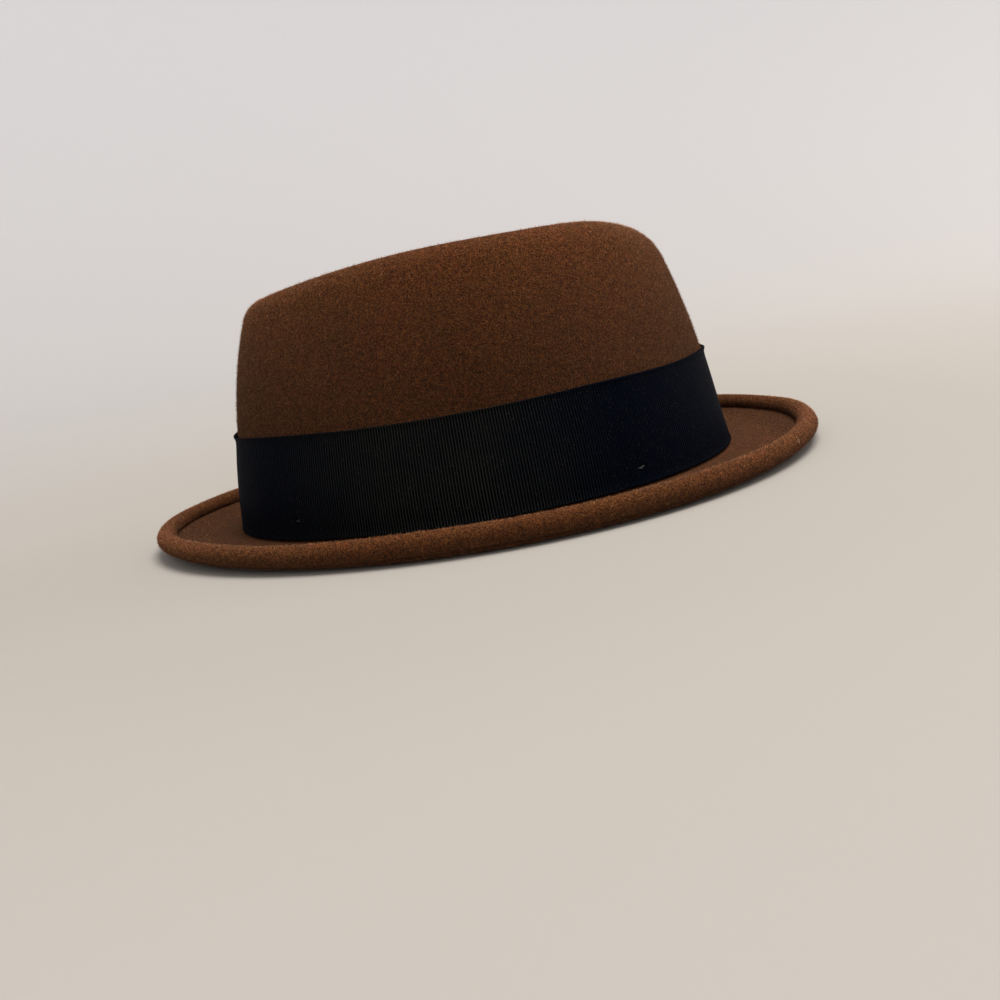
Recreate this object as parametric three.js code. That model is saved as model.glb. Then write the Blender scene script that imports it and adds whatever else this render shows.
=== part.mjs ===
// A porkpie hat: one felt body (crown, telescope crease, brim and pencil-rolled brim edge)
// and a flat band of ribbon round the foot of the crown.
//
// Millimetres. The front of the hat is -Y, the wearer's right is -X, up is +Z.
// The origin is on the surface that the hat rests on, below the middle of the brim's outline.

import * as THREE from 'three';

// Head oval: the outer face of the felt where the crown meets the brim. A power of 2 is an ellipse,
// less is more pointed, and the fullness is the share by which the front half is wider than the rear.
const headHalfLength = 102;
const headHalfWidth = 85.4;
const ovalPower = 1.98;
const frontFullness = 0.086;

// Felt
const feltThickness = 2;
const breakFillet = 1;

// Crown, measured up from the top of the brim at the middle of each side. shoulderTaper is how far
// its wall leans in by the foot of the rounding round the top, and wallSwell how far the wall swells
// out above the ribbon. The top slants up towards the front by a share of its height.
const crownHeight = 96.5;
const shoulderTaper = 16.2;
const shoulderRadius = 9.5;
const wallSwell = 0.8;
const topSlant = 0.012;

// Telescope crease in the top: a ridge, a groove inside it and a plateau in the middle
const grooveWidth = 32;
const grooveDepth = 11;
const plateauDrop = 3;

// Brim: a flat ring next to the crown, rising towards an edge that is rolled up and inwards.
// brimWidth runs from the crown to the outside of the roll. Midway between a side and an end the brim
// loses a share of its width.
const brimWidth = 37.5;
const brimNarrowing = 0.022;
const restRingStart = 3;
const restRingEnd = 12;
const brimRise = 3.2;
const rollHollowWidth = 3.6;
const rollHollowHeight = 4.3;
const rollWrapDegrees = 290;

// Ribbon: its ends lap at the middle of the left side. ribbonTaper is how far the crown's wall
// leans in by the ribbon's upper edge.
const ribbonHeight = 38;
const ribbonLift = 0.8;
const ribbonTaper = 5.9;
const ribbonThickness = 0.6;
const ribbonGap = 0.3;
const ribbonLap = 24;
const ribbonLapRamp = 8;
const ribbonCutEdge = 0.3;

// How the sides, the front and the rear differ, as shares of crownHeight, ribbonTaper, shoulderTaper,
// shoulderRadius, wallSwell, brimWidth, brimRise and rollHollowHeight
const quarters = {
  side: {
    topShare: 1, lowShare: 0.98, highShare: 1, roundShare: 1,
    swellShare: 0.8, brimShare: 1, riseShare: 0.22, rollShare: 1.16,
  },
  front: {
    topShare: 0.968, lowShare: 1.05, highShare: 0.854, roundShare: 2.4,
    swellShare: 0, brimShare: 0.931, riseShare: 0.92, rollShare: 0.7,
  },
  rear: {
    topShare: 0.929, lowShare: 0.97, highShare: 1.015, roundShare: 1.17,
    swellShare: 1, brimShare: 0.919, riseShare: 1.16, rollShare: 0.6,
  },
};

// Fineness of the facets
const segments = 60;
const rollSteps = 9;
const brimSteps = 3;
const ribbonSteps = 3;
const wallSteps = 3;
const shoulderSteps = 4;
const grooveSteps = 7;
const plateauShares = [0.55];

const ribbonTop = ribbonLift + ribbonHeight;

const radians = THREE.MathUtils.degToRad;
const mix = THREE.MathUtils.lerp;
const smooth = (t) => THREE.MathUtils.smoothstep(t, 0, 1);

// The crown sits off the origin so that the brim's outline is centred on it
const crownCentreY = (brimWidth * (quarters.front.brimShare - quarters.rear.brimShare)) / 2;

// Angle 0 is the wearer's right side, a quarter turn is the front
const evenAngles = Array.from({ length: segments }, (_, i) => (2 * Math.PI * i) / segments);

// The shares at one angle, blended from the side to the front or the rear
function sharesAt(angle) {
  const end = Math.sin(angle) > 0 ? quarters.front : quarters.rear;
  const weight = Math.sin(angle) ** 2;
  const shares = {};
  for (const name of Object.keys(quarters.side)) {
    shares[name] = mix(quarters.side[name], end[name], weight);
  }
  return shares;
}

// A point at a distance outside (or, negative, inside) the head oval
function ovalPoint(angle, outward, height, scale = 1) {
  const c = Math.cos(angle);
  const s = Math.sin(angle);
  const across = Math.sign(c) * Math.abs(c) ** (2 / ovalPower);
  const along = Math.sign(s) * Math.abs(s) ** (2 / ovalPower);
  const x = -(headHalfWidth + outward) * across * (1 + frontFullness * along);
  const y = -(headHalfLength + outward) * along;
  return [x * scale, y * scale + crownCentreY, height];
}

// Height of the crown's top above the brim: it arches from front to rear and is level across.
// reach is how far out along the hat the point lies, 1 at the ridge and 0 at the middle.
function topHeight(angle, reach) {
  const end = Math.sin(angle) > 0 ? quarters.front : quarters.rear;
  const along = Math.sin(angle) * reach;
  const slant = topSlant * along * (1 - along ** 2);
  return crownHeight * (mix(1, end.topShare, along ** 2) + slant);
}

// How far the crown's wall leans in at a height above the brim, and how steeply, with its swell above
// the ribbon
function wallAt(angle, height) {
  const shares = sharesAt(angle);
  const shoulderBottom = topHeight(angle, 1) - shoulderRadius * shares.roundShare;
  const lowSlope = (ribbonTaper * shares.lowShare) / ribbonTop;
  const highSlope = (shoulderTaper * shares.highShare) / shoulderBottom;
  const bend = (highSlope - lowSlope) / (shoulderBottom - ribbonTop);
  const start = lowSlope - bend * ribbonTop;
  const reach = shoulderBottom - ribbonTop;
  const above = Math.max(height - ribbonTop, 0) / reach;
  const swell = 4 * wallSwell * shares.swellShare;
  const swellSlope = height > ribbonTop ? (swell * (1 - 2 * above)) / reach : 0;
  return {
    inset: height * (start + bend * height) - swell * above * (1 - above),
    slope: start + 2 * bend * height - swellSlope,
  };
}

// The rounding between the crown's wall and its ridge at one angle
function shoulderAt(angle) {
  const radius = shoulderRadius * sharesAt(angle).roundShare;
  const ridgeHeight = topHeight(angle, 1);
  const middle = ridgeHeight - radius;
  const lean = Math.atan(wallAt(angle, middle).slope);
  const wallTop = middle + radius * Math.sin(lean);
  const ridgeInset = wallAt(angle, wallTop).inset + radius * Math.cos(lean);
  return { radius, middle, lean, wallTop, ridgeInset };
}

// Heights of the facets' edges up the crown's wall: the ribbon's own, and then those up to the rounding
function ribbonHeights() {
  return Array.from({ length: ribbonSteps + 1 }, (_, i) => ribbonLift + (ribbonHeight * i) / ribbonSteps);
}

function wallHeights(angle) {
  const { wallTop } = shoulderAt(angle);
  const above = Array.from({ length: wallSteps - 1 }, (_, i) => mix(ribbonTop, wallTop, (i + 1) / wallSteps));
  return [breakFillet, ...ribbonHeights().slice(1), ...above];
}

// The upper face of the felt at one angle, as points { out, up, scale } from the raw edge of the roll,
// round inside the roll, in over the brim, up the wall and over the top to the plateau's edge.
function upperFace(angle) {
  const shares = sharesAt(angle);
  const points = [];
  const add = (out, up, scale = 1) => points.push({ out, up, scale });

  const rise = brimRise * shares.riseShare;
  const widthShare = shares.brimShare - brimNarrowing * Math.sin(2 * angle) ** 2;
  const rollMiddle = brimWidth * widthShare - feltThickness - rollHollowWidth / 2;
  const halfHollow = (rollHollowHeight * shares.rollShare) / 2;
  const rollCentre = rise + feltThickness + halfHollow;
  for (let i = 0; i <= rollSteps; i += 1) {
    const turn = radians(rollWrapDegrees * (1 - i / rollSteps) - 90);
    const out = rollMiddle + (rollHollowWidth / 2) * Math.cos(turn);
    add(out, rollCentre + halfHollow * Math.sin(turn));
  }
  for (let i = brimSteps - 1; i >= 0; i -= 1) {
    const share = i / brimSteps;
    add(mix(restRingEnd, rollMiddle, share), feltThickness + rise * smooth(share));
  }
  add(restRingStart, feltThickness);
  for (const turn of [0, Math.PI / 4]) {
    add(breakFillet * (1 - Math.sin(turn)), feltThickness + breakFillet * (1 - Math.cos(turn)));
  }

  for (const height of wallHeights(angle)) {
    add(-wallAt(angle, height).inset, feltThickness + height);
  }

  const { radius, middle, lean, ridgeInset } = shoulderAt(angle);
  for (let i = 0; i <= shoulderSteps; i += 1) {
    const turn = mix(lean, Math.PI / 2, i / shoulderSteps);
    add(radius * Math.cos(turn) - ridgeInset, feltThickness + middle + radius * Math.sin(turn));
  }
  const reachOf = (out) => (headHalfLength + out) / (headHalfLength - ridgeInset);
  for (let i = 1; i <= grooveSteps; i += 1) {
    const share = i / grooveSteps;
    const out = -ridgeInset - grooveWidth * share;
    const dip = (grooveDepth * (1 - Math.cos(2 * Math.PI * share))) / 2 + plateauDrop * smooth(share);
    add(out, feltThickness + topHeight(angle, reachOf(out)) - dip);
  }
  const plateauEdge = -ridgeInset - grooveWidth;
  for (const scale of plateauShares) {
    const height = topHeight(angle, reachOf(plateauEdge) * scale) - plateauDrop;
    add(plateauEdge, feltThickness + height, scale);
  }
  return points;
}

// Points of a face moved off it by a distance, each to where its two neighbouring edges meet again.
// The points run inwards and up, and a distance above 0 is out from the hat.
function offsetFace(points, distance) {
  const fromMiddle = (point) => (headHalfLength + point.out) * point.scale;
  const normals = [];
  for (let i = 0; i + 1 < points.length; i += 1) {
    const run = fromMiddle(points[i + 1]) - fromMiddle(points[i]);
    const climb = points[i + 1].up - points[i].up;
    const length = Math.hypot(run, climb);
    normals.push({ out: climb / length, up: -run / length });
  }
  return points.map((point, i) => {
    const before = normals[Math.max(i - 1, 0)];
    const after = normals[Math.min(i, normals.length - 1)];
    const spread = 1 + before.out * after.out + before.up * after.up;
    const out = (before.out + after.out) / spread;
    const up = (before.up + after.up) / spread;
    return { out: point.out + distance * out, up: point.up + distance * up, scale: point.scale };
  });
}

// A closed skin over rings that all have as many points. The last ring joins the first one, or,
// where two poles are given, the first ring closes on the first pole and the last on the second.
function skin(rings, poles = null) {
  const count = rings[0].length;
  const positions = rings.flat(2);
  const faces = [];
  const bands = poles ? rings.length - 1 : rings.length;
  for (let r = 0; r < bands; r += 1) {
    const low = r * count;
    const high = ((r + 1) % rings.length) * count;
    for (let i = 0; i < count; i += 1) {
      const next = (i + 1) % count;
      faces.push(low + i, high + next, low + next);
      faces.push(low + i, high + i, high + next);
    }
  }
  if (poles) {
    const first = positions.length / 3;
    positions.push(...poles[0], ...poles[1]);
    const last = (rings.length - 1) * count;
    for (let i = 0; i < count; i += 1) {
      const next = (i + 1) % count;
      faces.push(first, i, next);
      faces.push(first + 1, last + next, last + i);
    }
  }
  const geometry = new THREE.BufferGeometry();
  geometry.setAttribute('position', new THREE.Float32BufferAttribute(positions, 3));
  geometry.setIndex(faces);
  geometry.computeVertexNormals();
  return geometry;
}

// The felt body: its upper face and its lower face, one felt thickness apart
function feltBody() {
  const upper = evenAngles.map((angle) => upperFace(angle));
  const lower = upper.map((points) => offsetFace(points, -feltThickness));
  const ring = (faces, station) => faces.map((points, i) => {
    const point = points[station];
    return ovalPoint(evenAngles[i], point.out, point.up, point.scale);
  });
  const stations = upper[0].map((_, station) => station);
  const upperRings = stations.map((station) => ring(upper, station));
  const lowerRings = stations.map((station) => ring(lower, station));
  const plateauTop = feltThickness + crownHeight - plateauDrop;
  const rings = [...upperRings.reverse(), ...lowerRings];
  const poles = [
    [0, crownCentreY, plateauTop],
    [0, crownCentreY, plateauTop - feltThickness],
  ];
  return skin(rings, poles);
}

// The ribbon: a band over the wall, with one end lapped over the other at the middle of the left side
function ribbonBand() {
  const perMillimetre = 1 / (headHalfLength - ribbonTaper);
  const lapEnd = Math.PI + (ribbonLap / 2) * perMillimetre;
  const lapStart = Math.PI - (ribbonLap / 2) * perMillimetre;
  const rampStart = lapStart - ribbonLapRamp * perMillimetre;
  const cut = ribbonCutEdge * perMillimetre;
  const lapAngles = [rampStart, lapStart, lapEnd, lapEnd + cut];
  const clear = (angle) => lapAngles.every((edge) => Math.abs(edge - angle) > cut);
  const angles = [...evenAngles.filter(clear), ...lapAngles].sort((a, b) => a - b);
  const layers = (angle) => {
    if (angle <= rampStart || angle > lapEnd) {
      return 1;
    }
    return 1 + Math.min(1, (angle - rampStart) / (lapStart - rampStart));
  };
  const heights = ribbonHeights();
  const inner = angles.map((angle) => {
    const wall = heights.map((height) => ({
      out: -wallAt(angle, height).inset,
      up: feltThickness + height,
      scale: 1,
    }));
    return offsetFace(wall, ribbonGap);
  });
  const outer = inner.map((points, i) => offsetFace(points, ribbonThickness * layers(angles[i])));
  const ring = (faces, station) => faces.map((points, i) => {
    const point = points[station];
    return ovalPoint(angles[i], point.out, point.up);
  });
  const stations = heights.map((_, station) => station);
  const innerRings = stations.map((station) => ring(inner, station));
  const outerRings = stations.map((station) => ring(outer, station));
  return skin([...outerRings.reverse(), ...innerRings]);
}

const felt = new THREE.MeshStandardMaterial({ color: 0x4a2a1a, roughness: 0.95, metalness: 0 });
const grosgrain = new THREE.MeshStandardMaterial({ color: 0x0c0d10, roughness: 0.6, metalness: 0 });

function piece(name, geometry, material) {
  const mesh = new THREE.Mesh(geometry, material);
  mesh.name = name;
  return mesh;
}

const hat = new THREE.Group();
hat.name = 'porkpie_hat';
hat.add(piece('felt_body', feltBody(), felt));
hat.add(piece('ribbon_band', ribbonBand(), grosgrain));

export default hat;
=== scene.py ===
# A brown felt porkpie hat with a black ribbon: the fine shapes and finishes of its felt, ribbon and thread.
# Lengths are in millimetres up to mesh_piece(), which turns them into Blender's metres. The front of
# the hat is -Y, the wearer's right is -X, and the hat rests on the plane z = 0.

import math

import bpy
import numpy as np
from mathutils import Matrix, Vector


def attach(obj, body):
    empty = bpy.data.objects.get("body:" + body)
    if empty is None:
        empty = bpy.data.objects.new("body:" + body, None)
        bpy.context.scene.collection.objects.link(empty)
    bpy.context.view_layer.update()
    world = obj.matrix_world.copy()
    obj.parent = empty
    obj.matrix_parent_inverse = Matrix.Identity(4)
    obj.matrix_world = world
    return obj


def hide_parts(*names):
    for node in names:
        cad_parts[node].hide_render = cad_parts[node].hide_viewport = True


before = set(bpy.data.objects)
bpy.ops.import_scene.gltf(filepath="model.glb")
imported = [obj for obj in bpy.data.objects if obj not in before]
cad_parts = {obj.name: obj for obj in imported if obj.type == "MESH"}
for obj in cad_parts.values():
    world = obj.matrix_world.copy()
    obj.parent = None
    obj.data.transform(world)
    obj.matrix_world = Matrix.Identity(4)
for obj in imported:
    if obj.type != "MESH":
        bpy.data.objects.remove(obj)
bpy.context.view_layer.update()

MM = 0.001
TURN = 2 * math.pi

# Oval of the crown's foot: the felt's outer face where the crown meets the brim
OVAL_HALF_LENGTH = 102.0
OVAL_HALF_WIDTH = 85.4
OVAL_POWER = 1.98
FRONT_FULLNESS = 0.086

# Felt
FELT_THICKNESS = 2.0
BREAK_FILLET = 1.0

# Crown and the crease in its top
CROWN_HEIGHT = 96.5
SHOULDER_TAPER = 16.2
SHOULDER_RADIUS = 9.5
WALL_SWELL = 0.8
TOP_SLANT = 0.012
GROOVE_WIDTH = 32.0
GROOVE_DEPTH = 11.0
PLATEAU_DROP = 3.0

# Brim and its rolled edge
BRIM_WIDTH = 37.5
BRIM_NARROWING = 0.022
REST_RING_START = 3.0
REST_RING_END = 12.0
BRIM_RISE = 3.2
ROLL_HOLLOW_WIDTH = 3.6
ROLL_HOLLOW_HEIGHT = 4.3
ROLL_WRAP = math.radians(290)

# Ribbon
RIBBON_HEIGHT = 38.0
RIBBON_LIFT = 0.8
RIBBON_TAPER = 5.9
RIBBON_THICKNESS = 0.6
RIBBON_GAP = 0.3
RIBBON_LAP = 24.0
RIBBON_LAP_RAMP = 8.0
RIBBON_CUT_EDGE = 0.3
RIBBON_TOP = RIBBON_LIFT + RIBBON_HEIGHT

# The ribbon's distance from the hat's middle, by which lengths along its sides become angles, and the steps
# in which its length is measured
RIBBON_REACH = OVAL_HALF_LENGTH - RIBBON_TAPER
MEASURING_STEPS = 6000

# How the sides, the front and the rear differ, as shares of the sizes above
SIDE = {
    "top": 1.0, "low": 0.98, "high": 1.0, "round": 1.0,
    "swell": 0.8, "brim": 1.0, "rise": 0.22, "roll": 1.16,
}
FRONT = {
    "top": 0.968, "low": 1.05, "high": 0.854, "round": 2.4,
    "swell": 0.0, "brim": 0.931, "rise": 0.92, "roll": 0.7,
}
REAR = {
    "top": 0.929, "low": 0.97, "high": 1.015, "round": 1.17,
    "swell": 1.0, "brim": 0.919, "rise": 1.16, "roll": 0.6,
}
CROWN_CENTRE = BRIM_WIDTH * (FRONT["brim"] - REAR["brim"]) / 2

# Fineness of the felt's mesh: segments round the hat, and steps along each stretch of its section.
# RING_PARTS says where the flat ring by the crown has rows, and UPPER_ROWS counts those of the upper face.
FELT_SEGMENTS = 300
FELT_STEPS = {"roll": 36, "brim": 12, "fillet": 4, "wall": 34, "shoulder": 10, "groove": 22, "plateau": 13}
RING_PARTS = (0.67, 0.33, 0)
UPPER_ROWS = sum(FELT_STEPS.values()) + len(RING_PARTS) + 1
RAW_EDGE_STEPS = 3

# The felt's small unevenness: long shallow waves, each with its direction and length
WAVE_DEPTH = 0.22
WAVES = [
    ((0.8, 0.6, 0.3), 83.0, 0.4),
    ((-0.5, 0.8, 0.5), 61.0, 2.1),
    ((0.3, -0.4, 0.9), 72.0, 4.0),
    ((0.9, -0.2, -0.5), 47.0, 5.2),
]
WAVE_FREE_HEIGHT = 2.0
WAVE_FULL_HEIGHT = 14.0

# The crease that the rolling iron leaves low round the outside of the roll
ROLL_CREASE_TURN = math.radians(-50)
ROLL_CREASE_WIDTH = math.radians(10)
ROLL_CREASE_DEPTH = 0.95

# How strongly it is pressed on average, and how that varies round the hat: swings, size, start
CREASE_MEAN = 0.55
CREASE_SWINGS = [(2, 0.25, 0.6), (5, 0.2, 2.0)]

# The roll's inner side, where shade is painted: where it starts and is full, and how much darker the painted
# shade makes it
ROLL_FLANK_START = math.radians(85)
ROLL_FLANK_REACH = math.radians(55)
ROLL_FLANK_PAINTED_SHADE = 0.16

# Ribs of the ribbon, each a ridge with a narrow valley beside it, and the selvedges that they end in
RIB_PITCH = 1.08
RIB_PROFILE = [-0.07, -0.02, 0.025, 0.04, 0.025, -0.02]
SELVEDGE_NUB = 0.12
SELVEDGE_HEIGHT = 0.9
SELVEDGE_BEAD = 0.16

# Rows round the ribbon's section: height above its lower edge, share of its thickness, rib, bead and nub.
# The back comes first, then the top selvedge, the face, which has rows close together by the tacks, and
# the lower selvedge.
FACE_HEIGHTS = (36.2, 34.5, 27.0, 19.0, 11.5, 8.4, 7.6, 6.8, 6.0, 5.2, 3.6)
RIBBON_ROWS = [
    (0.25, 0.0, 0, 0, 0),
    (RIBBON_HEIGHT / 2, 0.0, 0, 0, 0),
    (RIBBON_HEIGHT - 0.25, 0.0, 0, 0, 0),
    (RIBBON_HEIGHT, 0.3, 0, 0, 1),
    (RIBBON_HEIGHT + 0.05, 0.75, 0.5, 0.5, 1),
    (RIBBON_HEIGHT - 0.2, 1.0, 1, 1, 0.5),
    (RIBBON_HEIGHT - 0.6, 1.0, 1, 1, 0),
    (RIBBON_HEIGHT - SELVEDGE_HEIGHT, 1.0, 1, 0, 0),
    *[(height, 1.0, 1, 0, 0) for height in FACE_HEIGHTS],
    (SELVEDGE_HEIGHT, 1.0, 1, 0, 0),
    (0.6, 1.0, 1, 1, 0),
    (0.2, 1.0, 1, 1, -0.5),
    (-0.05, 0.75, 0.5, 0.5, -1),
    (0.0, 0.3, 0, 0, -1),
]

# How far the ribbon's top edge stands off the crown: all round, and more close to the front and rear ends.
# It begins FLARE_REACH below the edge, and all round it is a share that swings about its mean.
TOP_EDGE_FLARE = 0.25
END_FLARE = 0.75
END_FLARE_SHARPNESS = 10
FLARE_REACH = 2.6
FLARE_MEAN = 0.6
FLARE_SWING = 0.4

# Tacks of thread that hold the ribbon down: turn round the hat, height above the brim, and which thread.
# The third and fourth, out of sight on the left side, mirror the first two.
TACKS = [
    (math.radians(-45.5), 7.8, "dark"),
    (math.radians(31.4), 6.8, "pale"),
    (math.radians(225.5), 7.8, "dark"),
    (math.radians(148.6), 6.8, "dark"),
]
TACK_DIMPLE = 0.35
TACK_DIMPLE_WIDTH = 1.5

# Threads: a tip's share of the full radius, and how finely a path is split and how often it is smoothed
THREAD_RADIUS = 0.13
THREAD_SIDES = 6
THREAD_TIP = 0.35
THREAD_STEPS = 4
THREAD_SMOOTHINGS = 2

# Paths of the threads, as points along the ribbon, up it and off it: a tack's stitch and its loose end
TACK_STITCH = [
    (-0.9, 0.2, -0.6), (-0.55, 0.1, -0.05), (0.1, -0.05, 0.0), (0.75, -0.25, -0.1), (1.0, -0.3, -0.6),
]
TACK_LOOSE_END = [(0.3, 0.3, -0.6), (0.6, 0.4, 0.05), (1.0, 0.5, 0.2), (1.4, 0.35, 0.25)]

# Stitches over the lap's folded end: how many, how far the outer ones are from the ribbon's edges, and
# their path
LAP_STITCHES = 5
LAP_STITCH_MARGIN = 4
LAP_STITCH = [(-0.8, 0.3, -0.5), (-0.48, 0.2, 0.08), (0, 0, 0.12), (0.64, -0.2, 0.1), (0.8, -0.3, -0.5)]

# Slanting directions that the sections of threads and of hairs are turned by
THREAD_ASKEW = [0.3, 0.2, 0.93]
HAIR_ASKEW = [0.31, 0.22, 0.92]

# Nap: short loose hairs that stand on the felt. HAIR_SHORTEST is the shortest one's share of HAIR_LENGTH,
# and HAIR_SPREAD how much more the longest has. HAIR_ROOT is how deep they are sunk in, and HAIR_LOWEST how
# low they may hang.
HAIRS_PER_MM2 = 2.0
HAIR_LENGTH = 0.86
HAIR_SHORTEST = 0.55
HAIR_SPREAD = 1.05
HAIR_RADIUS = 0.055
HAIR_ROOT = 0.12
HAIR_LOWEST = 0.02
HAIR_LEAN = 0.75
NAP_SEED = 7

# The nap's thickness on the brim and the roll and its length on the roll, as shares of the crown's, and how
# much of the roll's is worn off in its crease, on its inner side and at its raw edge
BRIM_NAP = 0.45
ROLL_NAP = 1.35
ROLL_HAIR = 0.72
CREASE_BARE = 1.0
FLANK_BARE = 0.45

# How the nap is combed on the crown's wall and on the roll, and how far above the ribbon's top it ends
NO_COMB = (0, 0, 0)
WALL_COMB = (0, 0, -0.35)
ROLL_COMB = (0, 0, -0.1)
NAP_OVER_RIBBON = 1.4

# On the bake map: its size and a hair's dot in pixels, the margins above and below the felt and the
# threads, and the discs for the threads' ends
BAKE_PIXELS = 2048
HAIR_DOT = 1.6
FELT_MARGIN = 0.01
THREAD_MARGIN = 0.03
DISC_MIDDLE = 0.013
DISC_WIDTH = 0.4
DISC_HEIGHT = 0.012

# The felt's and its loose hairs' colour and grain, and how its patches and fibres shift that colour.
# PATCH_SHIFT keeps the red patches and the fibres apart from the olive ones.
FELT_COLOUR = (0.0905, 0.0278, 0.0066, 1)
FELT_GRAIN = 1.15
HAIR_COLOUR = (0.26, 0.118, 0.058, 1)
HAIR_GRAIN = 1.1
PLAIN = (1, 1, 1, 1)
OLIVE = (0.92, 1.0, 0.84, 1)
RED = (1.1, 0.94, 0.92, 1)
OLIVE_STRENGTH = 0.8
GREEN_FIBRES = (0.95, 1.03, 0.93, 1)
PINK_FIBRES = (1.06, 0.97, 1.06, 1)
PATCH_SHIFT = (210.0, 75.0, 140.0)

# How much darker the painted shade makes the felt where its points are marked dark, and the height of
# its grain and lumps
PAINTED_SHADE_STRENGTH = 0.85
FELT_BUMP = 0.5
LUMP_SHARE = 0.4

# The felt's marks: where each is in millimetres, its size, how frayed and how strong it is, and its colour
MARKS = [
    ((-95.2, 63.7, 5.2), 3.6, 3.0, 0.5, (0.022, 0.015, 0.008, 1)),
    ((-37.6, 120.0, 6.4), 1.9, 2.4, 0.55, (0.36, 0.2, 0.115, 1)),
    ((-75.3, -110.2, 7.2), 1.2, 1.4, 0.6, (0.4, 0.24, 0.17, 1)),
]

# Painted light and shade by height: how much lighter or darker the felt is painted at shares of the reach
# below, in millimetres of height. It is lighter at the crown's top and the roll's crest, darker down the
# crown's wall and on the brim, and lighter again at the very bottom.
PAINTED_LIGHT_REACH = 100.0
PAINTED_LIGHT_BY_HEIGHT = [
    (0.0, 1.25), (0.025, 0.93), (0.042, 0.77), (0.07, 1.08), (0.095, 1.54), (0.14, 1.05),
    (0.44, 0.69), (0.58, 0.81), (0.75, 0.98), (0.97, 1.36),
]

# Colours of the ribbon: between its ribs; on them at its ends, its own navy with a painted cold reflection;
# on them at its sides, a warm painted highlight; and its lint. RIB_SHARPNESS is how steeply a rib's painted
# highlight falls off. The lower LINT_LOW is, the rarer is the lint.
RIB_VALLEY = (0.0004, 0.0006, 0.0012, 1)
RIB_RIDGE = (0.0031, 0.0052, 0.0128, 1)
RIB_PAINTED_HIGHLIGHT = (0.0260, 0.0270, 0.0205, 1)
LINT = (0.05, 0.042, 0.035, 1)
RIB_SHARPNESS = 5.0
LINT_LOW = -3.4
LINT_STRENGTH = 0.4

# The warp that crosses the ribs: how much narrower than long its threads are, and their height
WARP_STRETCH = (1.0, 1.0, 7.0)
WARP_BUMP = 0.05

# Where the ribs carry the warm painted highlight: round which place along the hat, how far from it wholly,
# and where it ends
HIGHLIGHT_MIDDLE = 20.0
HIGHLIGHT_WHOLLY = 18.0
HIGHLIGHT_END = 66.0

# Colours of the threads, the darkest and the lightest of each
DARK_THREAD = [(0.008, 0.008, 0.011, 1), (0.05, 0.042, 0.05, 1)]
PALE_THREAD = [(0.045, 0.043, 0.042, 1), (0.18, 0.175, 0.17, 1)]

# The stage, in metres: a seamless bowl of pale board, flat under the hat and rising all round it. The
# board's two colours meet between two distances in millimetres: the board is painted paler further off,
# as painted light where the lamps' light falls away.
BOWL_FLAT = 0.9
BOWL_CURVE = 1.7
BOWL_TOP = 1.9
BOWL_SEGMENTS = 96
BOWL_CURVE_STEPS = 16
BOARD_NEAR = (0.375, 0.35, 0.32, 1)
BOARD_FAR = (0.735, 0.735, 0.76, 1)
BOARD_NEAR_END = 200.0
BOARD_FAR_START = 2600.0

# The two soft lamps and the room's light
LAMP_PLACE = Vector((-0.12, -0.55, 1.9))
LAMP_SIZE = 1.2
LAMP_POWER = 43.0
LAMP_COLOUR = (1.0, 0.965, 0.93)
FILL_PLACE = Vector((0.3, -1.7, 0.75))
FILL_SIZE = 0.9
FILL_POWER = 5.0
FILL_COLOUR = (1.0, 0.97, 0.94)
LIT_PLACE = Vector((0, 0, 0.05))
SKY = (0.93, 0.9, 0.86, 1)
SKY_STRENGTH = 0.72

# Where the camera stands and looks, how far it is tilted round its view, and its lens
CAMERA_PLACE = Vector((-0.45791, 0.01101, 0.08426))
CAMERA_AIM = Vector((-0.08, -0.00117, 0.0081))
CAMERA_ROLL = math.radians(-10.796)
CAMERA_LENS = 39.716
CAMERA_SENSOR = 36.0


def smooth(t):
    """An even S-shaped rise from 0 to 1."""
    t = np.clip(t, 0.0, 1.0)
    return t * t * (3 - 2 * t)


def share(name, angle):
    """A share at an angle, blended from the side to the front or the rear."""
    end = np.where(np.sin(angle) > 0, FRONT[name], REAR[name])
    return SIDE[name] + (end - SIDE[name]) * np.sin(angle) ** 2


def oval_point(angle, out, up, scale=1.0):
    """Points off the crown's oval. Angle 0 is the wearer's right side, a quarter turn is the front."""
    across = np.sign(np.cos(angle)) * np.abs(np.cos(angle)) ** (2 / OVAL_POWER)
    along = np.sign(np.sin(angle)) * np.abs(np.sin(angle)) ** (2 / OVAL_POWER)
    x = -(OVAL_HALF_WIDTH + out) * across * (1 + FRONT_FULLNESS * along)
    y = -(OVAL_HALF_LENGTH + out) * along
    return np.stack(np.broadcast_arrays(x * scale, y * scale + CROWN_CENTRE, up), axis=-1)


def top_height(angle, reach):
    """Height of the crown's top above the brim, which arches from front to rear and slants a little."""
    end = np.where(np.sin(angle) > 0, FRONT["top"], REAR["top"])
    along = np.sin(angle) * reach
    return CROWN_HEIGHT * (1 + (end - 1) * along ** 2 + TOP_SLANT * along * (1 - along ** 2))


def wall_at(angle, height):
    """How far the crown's wall leans in at a height above the brim, and how steeply."""
    shoulder_bottom = top_height(angle, 1) - SHOULDER_RADIUS * share("round", angle)
    reach = shoulder_bottom - RIBBON_TOP
    low_slope = RIBBON_TAPER * share("low", angle) / RIBBON_TOP
    high_slope = SHOULDER_TAPER * share("high", angle) / shoulder_bottom
    bend = (high_slope - low_slope) / reach
    start = low_slope - bend * RIBBON_TOP
    above = np.maximum(height - RIBBON_TOP, 0) / reach
    swell = 4 * WALL_SWELL * share("swell", angle)
    swell_slope = np.where(height > RIBBON_TOP, swell * (1 - 2 * above) / reach, 0)
    inset = height * (start + bend * height) - swell * above * (1 - above)
    return inset, start + 2 * bend * height - swell_slope


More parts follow.
